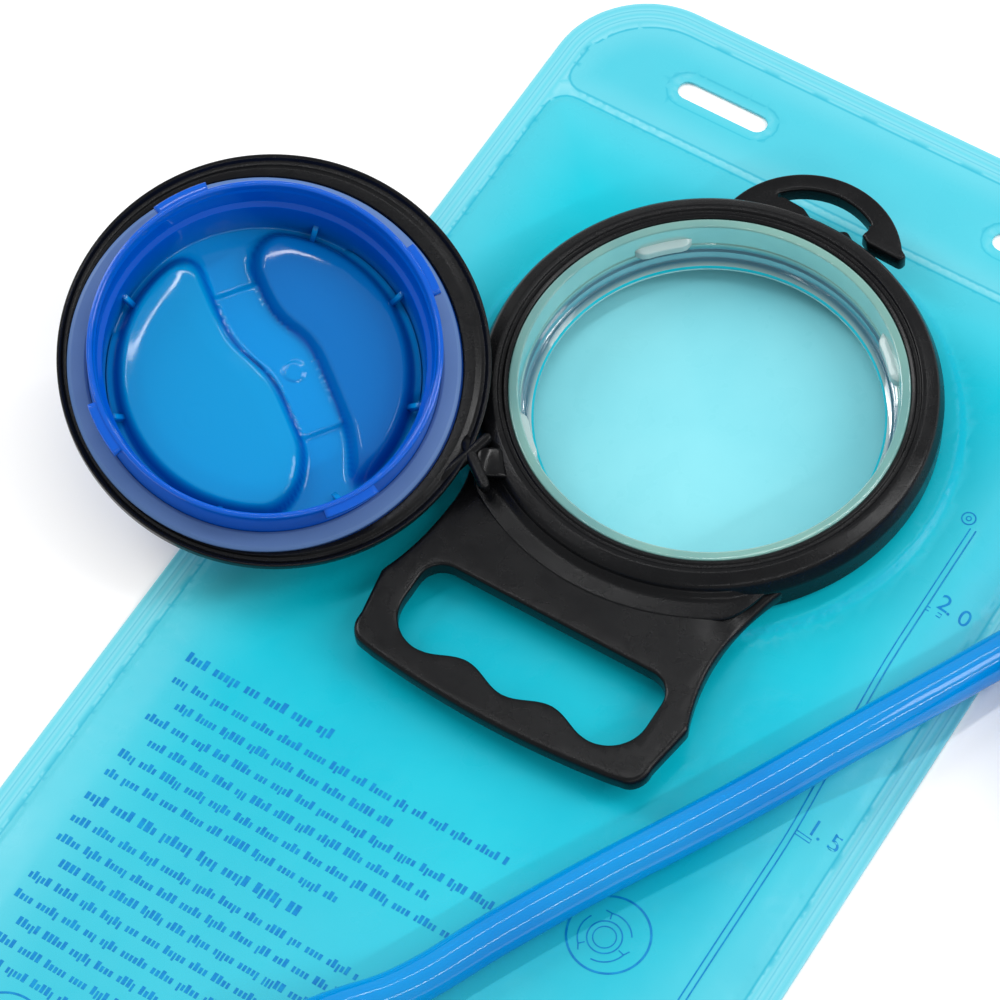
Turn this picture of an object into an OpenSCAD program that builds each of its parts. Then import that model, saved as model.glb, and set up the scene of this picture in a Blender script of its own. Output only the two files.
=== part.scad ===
// Two-litre hydration bladder: welded film reservoir with a wide fill port, a collar with a
// carrying handle, a tethered screw cap, a quick-release outlet, a drinking hose and a bite valve.
// The origin is on the resting plane, straight below the centre of the fill port.
// +Y points to the hanging header, +Z up.

/* [Bag] */
// Width of the bag over the welds
bag_w = 185; // [170:1:200]
// Distance from the port centre to the header edge
bag_top = 106.5; // [100:0.5:120]
// Distance from the port centre to the bottom edge
bag_bottom = 283.5; // [275:0.5:300]
// Corner radius at the header
header_corner = 26; // [15:1:30]
// Corner radius at the bottom
bottom_corner = 40; // [30:1:45]
// Width of the edge weld
weld_w = 7; // [5:0.5:9]
// Thickness of one film
film_t = 0.4; // [0.3:0.05:0.5]
// Height of the space between the films
cavity_h = 4.6; // [4.4:0.1:5]
// Distance from the port centre to the seam under the header
header_seam = 69; // [66:1:72]
// Width of the slope between the weld and the flat middle
slope_w = 12; // [8:1:14]
// Distance of the hanging slots from the port centre
slot_y = 84.4; // [82:0.2:88]
// Distance between the two slot centres
slot_spacing = 92; // [84:1:96]
// Length of a hanging slot
slot_len = 26; // [20:1:28]
// Half width of a hanging slot
slot_r = 2.7; // [2.2:0.1:3]

/* [Fill port] */
// Radius of the mouth
mouth_r = 43; // [42:0.5:43.5]
// Inner radius of the neck
neck_in_r = 46.2; // [46.2:0.1:46.4]
// Outer radius of the neck
neck_out_r = 48.8; // [48.6:0.1:48.8]
// Radius of the flange that is welded to the front film
port_flange_r = 61; // [58:1:62]
// Height of the neck's rim
neck_top = 19.5; // [19.4:0.1:19.6]
// Number of bayonet lugs
lug_count = 4; // [3:1:4]

/* [Collar] */
// Outer radius of the collar ring
collar_r = 57; // [56:0.5:58]
// Height of the collar's top
collar_top = 20.2; // [20:0.1:20.2]
// Underside of the handle plate
plate_z = 10; // [9.5:0.5:10.5]
// Thickness of the handle plate
plate_t = 5; // [4:0.5:5.5]
// Distance from the port centre to the handle's end
handle_end = 103.3; // [100:0.5:106]
// Half width of the handle at its waist
handle_waist = 38.3; // [37:0.5:40]

/* [Cap] */
// Radius of the cap's grip ring
cap_r = 52.4; // [52:0.2:52.6]
// Height of the grip ring
cap_h = 13.5; // [12.5:0.5:13.5]
// Offset of the grip ring's outside from the plug
cap_offset = 2.7; // [0:0.1:2.8]
// Outer radius of the plug's skirt
skirt_r = 42.6; // [42.2:0.1:42.6]
// Length of the skirt beyond the ring's rim
skirt_h = 11.5; // [10.5:0.5:11.5]
// Centre of the open cap's rim
cap_open = [-91.5, -55.5, 31.5];
// Tilt of the open cap
cap_tilt = 15; // [14:0.5:16]
// Direction in which the open cap leans
cap_lean = -36; // [-38:1:-34]

/* [Outlet] */
// Distance from the port centre to the outlet
outlet_y = 250; // [245:1:255]
// Outer radius of the outlet flange
outlet_flange_r = 19; // [17:0.5:22]
// Bore of the outlet neck
outlet_bore_r = 9; // [9:0.5:9]
// Outer radius of the quick-release socket
socket_r = 12.5; // [12:0.5:13]
// Travel of the release button
button_travel = 1.6; // [1.2:0.1:1.6]

/* [Hose] */
// Outer diameter of the hose
hose_d = 10.5; // [10:0.5:10.5]
// Radius of the coil at the middle of its turns
coil_r = 62; // [60:1:62]

/* [Hidden] */

film_top = 2 * film_t + cavity_h;
cut = 1;
fine = 96;

// Lug sizes: half angle of a lug, and how far it stands from its wall
lug_half = 9;
port_lug_r = 44.2;
cap_lug_r = 44.6;

// Collar: slot for the tether, as radii and start and sweep angles
slot_in = 51.8;
slot_out = 55.4;
slot_from = -132;
slot_sweep = 14;

// Cap hinge: the flip takes the open cap, leaning, onto the closed place over the port
cap_closed = [0, 0, 20.5];
cap_up = [sin(cap_tilt) * cos(cap_lean), sin(cap_tilt) * sin(cap_lean), cos(cap_tilt)];
hinge_raw = cross(cap_open - cap_closed, cap_up + [0, 0, 1]);
hinge_axis = hinge_raw / norm(hinge_raw);
down_flat = [0, 0, -1] + hinge_axis[2] * hinge_axis;
up_flat = cap_up - (cap_up * hinge_axis) * hinge_axis;
flip_angle = acos((up_flat * down_flat) / (norm(up_flat) * norm(down_flat)));
hinge_mid = (cap_open + cap_closed) / 2;
hinge_shift = cross(hinge_axis, cap_closed - cap_open) / (2 * tan(flip_angle / 2));
hinge_point = hinge_mid + hinge_shift;
knuckle_at = hinge_point - 22.4 * hinge_axis;
knuckle_r = 1.6;
knuckle_half = 4;
pin_r = 1.1;
pin_gap = 0.05;
ear_r = 2;
ear_w = 3;

// Where the open cap's own X direction points once the cap is closed: its lugs then stand
// midway between the port's lugs
cap_x = [cos(cap_tilt) * cos(cap_lean), cos(cap_tilt) * sin(cap_lean), -sin(cap_tilt)];
cap_x_closed = cap_x * cos(flip_angle) + cross(hinge_axis, cap_x) * sin(flip_angle)
  + hinge_axis * (hinge_axis * cap_x) * (1 - cos(flip_angle));
cap_lug_turn = atan2(cap_x_closed[1], cap_x_closed[0]);

// Places along the outlet's axis
neck_outlet_top = 12;
socket_top = 21.4;
button_z = 18.7;
elbow_z = 27;
connector_nose = 15;

// Bite valve: its axis starts here and runs along -Y
valve_at = [231, -112, 9.4];

// Route of the hose, from the elbow over the bag to the coil
run_route = [[0, -240, 27], [0, -226, 26.8], [1.2, -212, 24.6], [4.5, -198, 19.8],
  [10.5, -184.5, 14.4], [19.6, -170.5, 11.3], [31, -146.8, 11], [43.3, -122.8, 11],
  [54, -103.5, 11], [64, -84.6, 11], [73, -66.5, 11], [81.5, -49, 10.2],
  [92.3, -25.5, 7.6], [100.4, -8.3, 6], [107, 5.8, 5.6], [113.4, 19.2, 5.6]];
coil_at = [170, -6, 5.6];
coil_start = 156;
coil_lift = 10.8;

// Route of the hose's end, from the coil to the bite valve
tail_route = [[232, -6, 16.4], [232, -22, 16.1], [232, -40, 14.8], [231.8, -58, 12.6],
  [231.4, -76, 10.6], [231, -94, 9.5], [231, -112, 9.4]];

function arc(c, r, from, to, steps = 12) =
  [for (i = [0:steps]) let (a = from + (to - from) * i / steps) c + r * [cos(a), sin(a)]];

function mirrored(points) = [for (i = [len(points) - 1:-1:0]) [-points[i][0], points[i][1]]];

function helix(r, pitch, turns, per_turn = 14) =
  [for (i = [0:turns * per_turn]) let (a = 360 * i / per_turn)
    [r * cos(a), r * sin(a), pitch * i / per_turn]];

// A round rod along a list of points, closed at both ends
module rod(points, r, sides = 10) {
  last = len(points) - 1;
  rings = [for (i = [0:last])
    let (t = points[min(i + 1, last)] - points[max(i - 1, 0)],
      side = cross(t, [0, 0, 1]) / norm(cross(t, [0, 0, 1])),
      up = cross(side, t) / norm(cross(side, t)))
    for (k = [0:sides - 1])
      let (a = 360 * k / sides) points[i] + r * (cos(a) * side + sin(a) * up)];
  walls = [for (i = [0:last - 1], k = [0:sides - 1])
    let (a = i * sides + k, b = i * sides + (k + 1) % sides)
    each [[a, b + sides, a + sides], [a, b, b + sides]]];
  near_end = [[for (k = [sides - 1:-1:0]) k]];
  far_end = [[for (k = [0:sides - 1]) last * sides + k]];
  polyhedron(rings, concat(walls, near_end, far_end));
}

// Outline of the bag or of a smaller copy of it
module bag_outline(inset, top, top_r, bottom_r) {
  half = bag_w / 2 - inset;
  low = inset - bag_bottom;
  polygon(concat(
    arc([half - top_r, top - top_r], top_r, 0, 90),
    arc([top_r - half, top - top_r], top_r, 90, 180),
    arc([bottom_r - half, low + bottom_r], bottom_r, 180, 270),
    arc([half - bottom_r, low + bottom_r], bottom_r, 270, 360)));
}

// The raised middle of the bag, grown or shrunk by the film's thickness
module bag_body(inset, height) {
  middle = (header_seam - inset + weld_w + inset - bag_bottom) / 2;
  half_w = bag_w / 2 - weld_w - inset;
  half_l = (header_seam - weld_w + bag_bottom) / 2 - inset;
  translate([0, middle, 0])
    linear_extrude(height, scale = [1 - slope_w / half_w, 1 - slope_w / half_l])
      translate([0, -middle])
        bag_outline(weld_w + inset, header_seam - inset, 14, bottom_corner - weld_w);
}

module hanging_slots() {
  for (side = [-1, 1], end = [-1, 1])
    translate([side * slot_spacing / 2 + end * (slot_len / 2 - slot_r), slot_y, -cut])
      cylinder(r = slot_r, h = film_top, $fn = 48);
  for (side = [-1, 1])
    translate([side * slot_spacing / 2 - slot_len / 2 + slot_r, slot_y - slot_r, -cut])
      cube([slot_len - 2 * slot_r, 2 * slot_r, film_top]);
}

module back_film() {
  color("#8fdbe6")
    difference() {
      linear_extrude(film_t)
        bag_outline(0, bag_top, header_corner, bottom_corner);
      hanging_slots();
    }
}

module front_film() {
  color("#35c3d8")
    difference() {
      union() {
        translate([0, 0, film_t])
          linear_extrude(film_t)
            bag_outline(0, bag_top, header_corner, bottom_corner);
        translate([0, 0, film_t])
          bag_body(0, film_top - film_t);
      }
      translate([0, 0, film_t - 0.01])
        bag_body(film_t, cavity_h + 0.01);
      hanging_slots();
      cylinder(r = mouth_r, h = film_top + cut, $fn = fine);
      translate([0, -outlet_y, 0])
        cylinder(r = outlet_bore_r, h = film_top + cut, $fn = fine);
    }
}

module sector(r_in, r_out, z_low, z_high, from, sweep) {
  rotate([0, 0, from])
    rotate_extrude(angle = sweep, $fn = fine)
      translate([r_in, z_low])
        square([r_out - r_in, z_high - z_low]);
}

module fill_port() {
  color("#bfe8e4") {
    rotate_extrude($fn = fine)
      polygon([[mouth_r, film_top], [port_flange_r, film_top], [port_flange_r, film_top + 1],
        [neck_out_r + 1.4, film_top + 1.2], [neck_out_r, film_top + 1.2], [neck_out_r, neck_top],
        [neck_in_r, neck_top], [neck_in_r, film_top + 1.6], [mouth_r, film_top + 1.6]]);
    for (i = [0:lug_count - 1])
      sector(port_lug_r, neck_in_r + 0.5, 12, 14.5, 45 + 360 / lug_count * i - lug_half, 2 * lug_half);
  }
}

// Handle plate: one half of the outline, from the collar to the middle of the handle's end
handle_half = concat(
  arc([handle_waist + 57, -60], 57, 157, 202, 10),
  arc([34.5, -95], 6, 10, -62, 6),
  arc([0, 252 - handle_end], 252, -82.6, -90, 4));

// Finger hole: one half of the outline, from the top middle to the bottom middle
hole_half = concat(
  arc([27.5, -78.4], 6, 90, 0, 6),
  arc([23.5, -85.3], 10, 0, -90, 8),
  [for (x = [21:-3:0]) [x, -93.6 - 1.7 * cos(360 * x / 23.5)]]);

module handle_plate() {
  difference() {
    translate([0, 0, plate_z])
      linear_extrude(plate_t)
        difference() {
          polygon(concat(handle_half, mirrored(handle_half)));
          polygon(concat(hole_half, mirrored(hole_half)));
        }
    translate([0, 0, plate_z - cut])
      cylinder(r = neck_out_r + 2, h = plate_t + 2 * cut, $fn = fine);
  }
}

// Hanging hook on the header side of the collar, open to +X
module hook() {
  translate([0, 0, plate_z + 1])
    linear_extrude(plate_t)
      polygon(concat(
        arc([-0.5, 47], 24.2, 168, 34, 20),
        [[21, 58.5], [19, 57.6], [11, 58.2], [9, 60.4]],
        arc([-1, 47.5], 18.7, 58, 138, 14),
        [[-13.6, 59], [-8, 58.6], [-4, 56.6], [2, 56.4], [5, 57.8], [7, 56], [0, 50], [-20, 49]]));
}

module collar_handle() {
  color("#17181a")
    difference() {
      union() {
        rotate_extrude($fn = fine)
          polygon([[neck_out_r + 0.05, film_top + 1.4], [collar_r - 1, film_top + 1.4],
            [collar_r, film_top + 2.4], [collar_r, 15], [collar_r - 0.8, 17.8],
            [collar_r - 2.8, 19.6], [collar_r - 5.5, collar_top], [neck_out_r + 0.8, collar_top],
            [neck_out_r + 0.05, collar_top - 0.6]]);
        handle_plate();
        hook();
      }
      sector(slot_in, slot_out, 0, collar_top + cut, slot_from, slot_sweep);
      sector(slot_in - 1, slot_out + 0.9, 0, 9.8, slot_from, slot_sweep);
    }
}

// Places its children in the open cap's own frame: rim centre at the origin, inside up
module on_open_cap() {
  translate(cap_open)
    rotate([0, cap_tilt, cap_lean])
      children();
}

// Places its children on the hinge line, with the line along Z
module on_hinge() {
  translate(knuckle_at)
    rotate([0, acos(hinge_axis[2]), atan2(hinge_axis[1], hinge_axis[0])])
      children();
}

module cap_tether() {
  // Heights of the foot under the collar and of the strap's bend
  foot_low = plate_z - 1.8;
  foot_high = foot_low + 1.4;
  bend_z = 19.7;
  // Foot and strap from the side, as distance from the port's axis and height
  strap_side = [[slot_in - 0.8, foot_low], [slot_out + 0.5, foot_low], [slot_out + 0.5, foot_high],
    [slot_out - 1, foot_high], [slot_out - 1, bend_z], [slot_in + 1.2, bend_z],
    [slot_in + 1.2, foot_high], [slot_in - 0.8, foot_high]];
  // Bend between the strap and the knuckle, as drop below the hinge and distance from it
  bend_side = [[-0.7, 0.2], [0.9, 0.2], [1.4, -4.2], [1.4, -5.1], [0.8, -5.1], [0.7, -3.2],
    [0, -1.6]];
  color("#1b1c1e") {
    rotate([90, 0, slot_from + slot_sweep / 2])
      linear_extrude(2 * knuckle_half, center = true)
        polygon(strap_side);
    on_hinge() {
      linear_extrude(2 * knuckle_half - 0.4, center = true)
        polygon(bend_side);
      cylinder(r = knuckle_r, h = 2 * knuckle_half, center = true, $fn = 24);
      cylinder(r = pin_r, h = 2 * (knuckle_half + ear_w), center = true, $fn = 48);
    }
  }
}

module cap_grip_ring() {
  // Directions of the ring's wide side and of its hinge ears in the cap's frame
  wide_side = 96;
  ear_turn = 41;
  color("#151618")
    difference() {
      union() {
        on_open_cap() {
          difference() {
            rotate([0, 0, wide_side])
              translate([cap_offset, 0, 0])
                rotate_extrude($fn = fine)
                  polygon([[0, 0], [cap_r - 1, 0], [cap_r, -1], [cap_r, -3], [cap_r - 5.4, -cap_h + 1],
                    [cap_r - 6.8, -cap_h], [0, -cap_h]]);
            translate([0, 0, -cap_h - cut])
              cylinder(r = skirt_r + 0.6, h = cap_h + 2 * cut, $fn = fine);
            translate([0, 0, -3.6])
              cylinder(r = 48.3, h = 2.8, $fn = fine);
            translate([0, 0, -cut])
              cylinder(r = 47.6, h = 2 * cut, $fn = fine);
          }
        }
        for (side = [-1, 1])
          hull() {
            on_hinge()
              translate([0, 0, side * (knuckle_half + 0.4 + ear_w / 2)])
                cylinder(r = ear_r, h = ear_w, center = true, $fn = 32);
            on_open_cap()
              rotate([0, 0, ear_turn + 8 * side])
                translate([51, -1.5, -4])
                  cube([1, 3, 3]);
          }
      }
      on_hinge()
        cylinder(r = pin_r + pin_gap, h = 4 * knuckle_half, center = true, $fn = 48);
      on_hinge()
        cylinder(r = ear_r + 0.6, h = 2 * knuckle_half + 0.8, center = true, $fn = 32);
    }
}

module cap_plug() {
  pad_low = -cap_h + 3.4;
  pad_high = -5;
  color("#0a6fd0")
    on_open_cap() {
      rotate_extrude($fn = fine)
        polygon([[0, 1.6 - cap_h], [skirt_r, 1.6 - cap_h], [skirt_r, -3.4], [48, -3.4], [48, -1.2],
          [skirt_r, -1.2], [skirt_r, skirt_h - 0.6], [skirt_r - 0.6, skirt_h],
          [skirt_r - 2, skirt_h], [skirt_r - 2.6, skirt_h - 0.6], [skirt_r - 2.6, pad_low], [0, pad_low]]);
      for (i = [0:lug_count - 1])
        sector(skirt_r - 0.5, cap_lug_r, skirt_h - 2.6, skirt_h - 0.4,
          cap_lug_turn + 360 / lug_count * i - lug_half, 2 * lug_half);
      // Two pads with an S-shaped channel between them
      for (turn = [0, 180])
        rotate([0, 0, turn + 20])
          translate([0, 0, pad_low - 0.2])
            linear_extrude(pad_high - pad_low)
              difference() {
                union() {
                  intersection() {
                    circle(r = 36, $fn = fine);
                    translate([0, 5])
                      square([36, 40]);
                  }
                  translate([-17, 3])
                    circle(r = 14, $fn = 48);
                }
                translate([17, 0])
                  circle(r = 19, $fn = 48);
              }
      for (i = [0:7])
        rotate([0, 0, 45 * i + 12])
          translate([35.5, -1, pad_low - 0.2])
            cube([5, 2, 3]);
    }
}

module cap_gasket() {
  color("#4d6da6")
    on_open_cap()
      rotate_extrude($fn = fine)
        polygon([[skirt_r + 0.1, -1.2], [47.2, -1.2], [47.2, 0.5], [46.8, 0.8], [43.4, 0.8],
          [skirt_r + 0.1, 0.5]]);
}

module at_outlet() {
  translate([0, -outlet_y, 0])
    children();
}

module outlet_flange() {
  color("#1277cf")
    at_outlet()
      rotate_extrude($fn = fine)
        polygon([[outlet_bore_r, film_top], [outlet_flange_r, film_top],
          [outlet_flange_r, film_top + 1], [outlet_bore_r + 3.4, film_top + 1.6],
          [outlet_bore_r + 2.5, film_top + 2.4], [outlet_bore_r + 2.5, neck_outlet_top],
          [outlet_bore_r, neck_outlet_top], [outlet_bore_r, 9.6], [outlet_bore_r + 0.6, 9.6],
          [outlet_bore_r + 0.6, 8.4], [outlet_bore_r, 8.4]]);
}

module release_socket() {
  spigot_r = outlet_bore_r - 0.05;
  color("#1b1c1f")
    at_outlet()
      difference() {
        rotate_extrude($fn = fine)
          polygon([[3.6, 5.6], [spigot_r, 5.6], [spigot_r, 8.6], [spigot_r + 0.45, 8.8],
            [spigot_r + 0.45, 9.3], [spigot_r, 9.5], [spigot_r, 10.2], [8, 10.2], [8, 11.4],
            [spigot_r, 11.4], [spigot_r, neck_outlet_top + 0.3], [socket_r - 0.6, neck_outlet_top + 0.3],
            [socket_r, neck_outlet_top + 0.9], [socket_r, socket_top - 0.8],
            [socket_r - 0.8, socket_top], [3.6, socket_top]]);
        translate([0, 0, 5])
          cylinder(r = 6.4, h = 6.6, $fn = fine);
        translate([0, 0, 13])
          cylinder(r = 6, h = 10, $fn = fine);
        // Slot for the latch plate, flat for the button and pocket for its spring
        translate([-8.1, -15, button_z - 0.9])
          cube([16.2, 23.4 + button_travel, 1.8]);
        translate([-8.1, -15, neck_outlet_top + 1])
          cube([16.2, 4.2, socket_top]);
        translate([0, -7.2, 15.2])
          rotate([90, 0, 0])
            cylinder(r = 1.9, h = 5, $fn = 32);
      }
}

module ring_seal(major, minor, z) {
  translate([0, 0, z])
    rotate_extrude($fn = fine)
      translate([major, 0])
        circle(r = minor, $fn = 24);
}

module socket_o_ring() {
  color("#7d1f1c")
    at_outlet()
      ring_seal(8.5, 0.45, 10.8);
}

module spring_retainer() {
  color("#d9dde0")
    at_outlet()
      difference() {
        translate([0, 0, 5.7])
          cylinder(r = 6.35, h = 1.2, $fn = fine);
        translate([0, 0, 5])
          cylinder(r = 1.6, h = 3, $fn = 32);
        for (i = [0:3])
          rotate([0, 0, 90 * i + 45])
            translate([4, 0, 5])
              cylinder(r = 1.4, h = 3, $fn = 32);
      }
}

module shutoff_poppet() {
  color("#e8eaec")
    at_outlet()
      rotate_extrude($fn = fine)
        polygon([[0, 5], [1.45, 5], [1.45, 9], [5.2, 9], [5.4, 9.2], [5.4, 9.9], [4.6, 10.2],
          [1.4, 10.2], [1.4, connector_nose - 0.25], [0, connector_nose - 0.25]]);
}

module poppet_spring() {
  color("#b9bec4")
    at_outlet()
      translate([0, 0, 7.2])
        rod(helix(3.4, 0.5, 3), 0.22, 6);
}

module release_button() {
  color("#2a2c30")
    at_outlet()
      difference() {
        union() {
          translate([-7.8, -16, button_z - 0.7])
            cube([15.6, 24, 1.4]);
          translate([-7.8, -17, 13.4])
            cube([15.6, 2.2, 7.8]);
        }
        translate([0, -0.8, button_z - 2])
          cylinder(r = 6.9, h = 4, $fn = fine);
      }
}

module button_spring() {
  color("#b9bec4")
    at_outlet()
      translate([0, -9.1, 15.2])
        rotate([90, 0, 0])
          rod(helix(1.4, 1.1, 5, 12), 0.2, 6);
}

// Barb that holds a hose: ridged rod along +Z, with each ridge tapering to its far side
module barb(length) {
  rotate_extrude($fn = 48)
    polygon(concat([[0, 0], [3.4, 0]],
      [for (i = [1:3]) each [[3.4, length * i / 4], [3.9, length * i / 4], [3.4, length * (i + 0.9) / 4]]],
      [[3.3, length], [0, length]]));
}

module hose_elbow() {
  bore = 2.6;
  color("#1d1e21")
    at_outlet()
      difference() {
        union() {
          rotate_extrude($fn = fine)
            polygon([[0, connector_nose], [5.6, connector_nose], [5.95, connector_nose + 0.4],
              [5.95, 15.8], [5.3, 15.8], [5.3, 17], [5.95, 17], [5.95, 17.6], [5, 18], [5, 19.5],
              [5.95, 19.9], [5.95, socket_top + 0.3], [8.6, socket_top + 0.3],
              [9, socket_top + 0.7], [9, socket_top + 1.6], [5.2, socket_top + 2.2],
              [5.2, elbow_z], [0, elbow_z]]);
          translate([0, 0, elbow_z])
            sphere(r = 5.2, $fn = 48);
          translate([0, 0, elbow_z])
            rotate([-90, 0, 0])
              cylinder(r = 5.2, h = 10, $fn = 48);
          translate([0, 10, elbow_z])
            rotate([-90, 0, 0])
              barb(14);
        }
        translate([0, 0, connector_nose + 1.2])
          cylinder(r = bore, h = elbow_z - connector_nose - 1.2, $fn = 48);
        for (i = [0:2])
          rotate([0, 0, 120 * i])
            translate([3.3, 0, connector_nose - cut])
              cylinder(r = 1.1, h = 3, $fn = 32);
        translate([0, 0, elbow_z])
          rotate([-90, 0, 0])
            cylinder(r = bore, h = 30, $fn = 48);
      }
}

module elbow_o_ring() {
  color("#7d1f1c")
    at_outlet()
      ring_seal(5.62, 0.3, 16.4);
}

module hose_run() {
  color("#0f7fd8")
    rod(run_route, hose_d / 2);
}

module hose_coil() {
  color("#0f7fd8")
    translate([coil_at[0], coil_at[1], coil_at[2]]) {
      rotate_extrude($fn = fine)
        translate([coil_r, 0])
          circle(r = hose_d / 2, $fn = 24);
      rotate_extrude(angle = coil_start, $fn = fine)
        translate([coil_r - hose_d / 2 + 0.5, 0])
          square([hose_d - 1, coil_lift + hose_d / 2]);
    }
}

module hose_tail() {
  color("#0f7fd8")
    rod(tail_route, hose_d / 2);
}

// Places its children on the bite valve's axis, with the outlet end towards +Z
module on_valve() {
  translate(valve_at)
    rotate([90, 0, 0])
      children();
}

module bite_valve_body() {
  color("#17181b")
    on_valve()
      difference() {
        union() {
          rotate([180, 0, 0])
            barb(13);
          rotate_extrude($fn = fine)
            polygon([[0, 0], [6.4, 0], [9.1, 1.5], [9.1, 6], [8, 6], [8, 10.6], [6.6, 12], [5.9, 12.5],
              [4.4, 12.5], [4.4, 18.2], [3.9, 18.2], [3.9, 19.4], [4.4, 19.4], [4.4, 22], [0, 22]]);
          translate([0, 0, 21])
            cylinder(r = 1.4, h = 7.4, $fn = 48);
        }
        translate([0, 0, -14])
          cylinder(r = 2.2, h = 31, $fn = 48);
        for (i = [0:2])
          rotate([0, 0, 120 * i])
            translate([2.6, 0, 15])
              cylinder(r = 0.9, h = 10, $fn = 32);
      }
}

module valve_o_ring() {
  color("#7d1f1c")
    on_valve()
      ring_seal(4.3, 0.35, 18.8);
}

module pull_tip() {
  color("#1a6fc4")
    on_valve()
      rotate_extrude($fn = fine)
        polygon([[4.7, 13], [7, 13], [7.4, 13.6], [7.4, 15], [6.2, 16], [6.2, 25], [4.6, 27],
          [4.6, 28.2], [1.55, 28.2], [1.55, 27], [2.4, 26], [4.7, 23.5]]);
}

module mouthpiece() {
  color("#9fd8f2")
    on_valve()
      rotate_extrude($fn = fine)
        polygon([[6.2, 16.4], [7.3, 16.6], [7.6, 18], [6.9, 21], [7.1, 25], [6.6, 28.6], [5.4, 30],
          [2, 30], [2, 28.2], [4.6, 28.2], [4.6, 27], [6.2, 25]]);
}

module dust_cover() {
  color("#bfe3f5")
    on_valve()
      rotate_extrude($fn = fine)
        polygon([[8.05, 6.3], [9.1, 6.3], [9.1, 33], [7.4, 37.6], [0, 38.4], [0, 37],
          [6.6, 36.2], [8.05, 32.6]]);
}

back_film();
front_film();
fill_port();
collar_handle();
cap_tether();
cap_grip_ring();
cap_plug();
cap_gasket();
outlet_flange();
release_socket();
socket_o_ring();
spring_retainer();
shutoff_poppet();
poppet_spring();
release_button();
button_spring();
hose_elbow();
elbow_o_ring();
hose_run();
hose_coil();
hose_tail();
bite_valve_body();
valve_o_ring();
pull_tip();
mouthpiece();
dust_cover();
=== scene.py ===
"""Looks of the hydration bladder: welded films, clear fill port, black collar with its handle,
blue screw cap on a strap, and the drinking hose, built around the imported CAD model.
Lengths are in millimetres in the making functions and become metres in make_object()."""

import math

import bpy
import numpy as np
from mathutils import Matrix, Vector, geometry, noise


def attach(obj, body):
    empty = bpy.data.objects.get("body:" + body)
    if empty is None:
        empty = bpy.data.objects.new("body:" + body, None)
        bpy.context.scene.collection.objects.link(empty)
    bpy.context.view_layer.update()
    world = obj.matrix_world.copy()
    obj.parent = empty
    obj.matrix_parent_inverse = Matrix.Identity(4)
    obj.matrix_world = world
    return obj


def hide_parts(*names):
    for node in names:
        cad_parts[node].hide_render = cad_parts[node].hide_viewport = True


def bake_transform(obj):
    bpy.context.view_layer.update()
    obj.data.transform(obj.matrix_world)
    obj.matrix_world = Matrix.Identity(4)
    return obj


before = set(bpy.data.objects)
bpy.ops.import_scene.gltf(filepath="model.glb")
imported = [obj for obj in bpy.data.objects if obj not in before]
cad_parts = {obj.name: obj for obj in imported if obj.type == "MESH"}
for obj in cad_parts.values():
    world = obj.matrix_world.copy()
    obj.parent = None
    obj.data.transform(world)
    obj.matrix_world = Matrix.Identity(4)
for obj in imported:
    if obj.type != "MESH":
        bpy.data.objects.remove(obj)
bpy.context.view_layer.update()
MM = 0.001

# ---- places, in mm

BAG_HALF_W = 92.5
BAG_TOP = 106.5
BAG_BOTTOM = -283.5
HEADER_CORNER = 26
BOTTOM_CORNER = 40
WELD_W = 7
WELD_PITCH = 2.33
SEAM_Y = 69
SLOT_X = 46
SLOT_Y = 84.4
SLOT_HALF = 13
SLOT_R = 2.7
FILM_T = 0.4
FILM_TOP = 5.3
BACK_TOP = 0.42
WELD_TOP = 0.8
MOUTH_R = 43
NECK_IN = 46.2
NECK_OUT = 48.8
NECK_TOP = 19.5
FLANGE_R = 61.5
OUTLET_Y = -250
OUTLET_R = 9
HANDLE_LOW = 10
HANDLE_TOP = 15
HOSE_R = 5.25
NECK_LIP = NECK_IN + 0.4
LUG_HALF = math.radians(9)

CAP_CENTRE = Vector((-91.5, -55.5, 31.5))
CAP_TILT = math.radians(15)
CAP_LEAN = math.radians(-36)
CAP = Matrix.Translation(CAP_CENTRE) @ Matrix.Rotation(CAP_LEAN, 4, "Z") @ Matrix.Rotation(CAP_TILT, 4, "Y")
CAP_OFFSET = 2.7
WIDE_SIDE = math.radians(96)
EAR_TURN = math.radians(41)
KNUCKLE = Vector((-34.9, -46.8, 20.5))
HINGE_WAY = Vector((0.504, -0.855, -0.12))

HOSE_RUN = [
    (0, -240, 27), (0, -226, 26.8), (1.2, -212, 24.6), (4.5, -198, 19.8), (10.5, -184.5, 14.4),
    (19.6, -170.5, 11.3), (31, -146.8, 11), (43.3, -122.8, 11), (54, -103.5, 11), (64, -84.6, 11),
    (73, -66.5, 11), (81.5, -49, 10.2), (92.3, -25.5, 7.6), (100.4, -8.3, 6), (107, 5.8, 5.6),
]
COIL_AT = (170, -6)
COIL_R = 62
COIL_START = 156
COIL_LOW = 5.6
COIL_HIGH = 16.4
COIL_STEP = 12
HOSE_TAIL = [
    (232, -22, 16.1), (232, -40, 14.8), (231.8, -58, 12.6), (231.4, -76, 10.6),
    (231, -94, 9.5), (231, -112, 9.4),
]

# ---- materials


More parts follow.
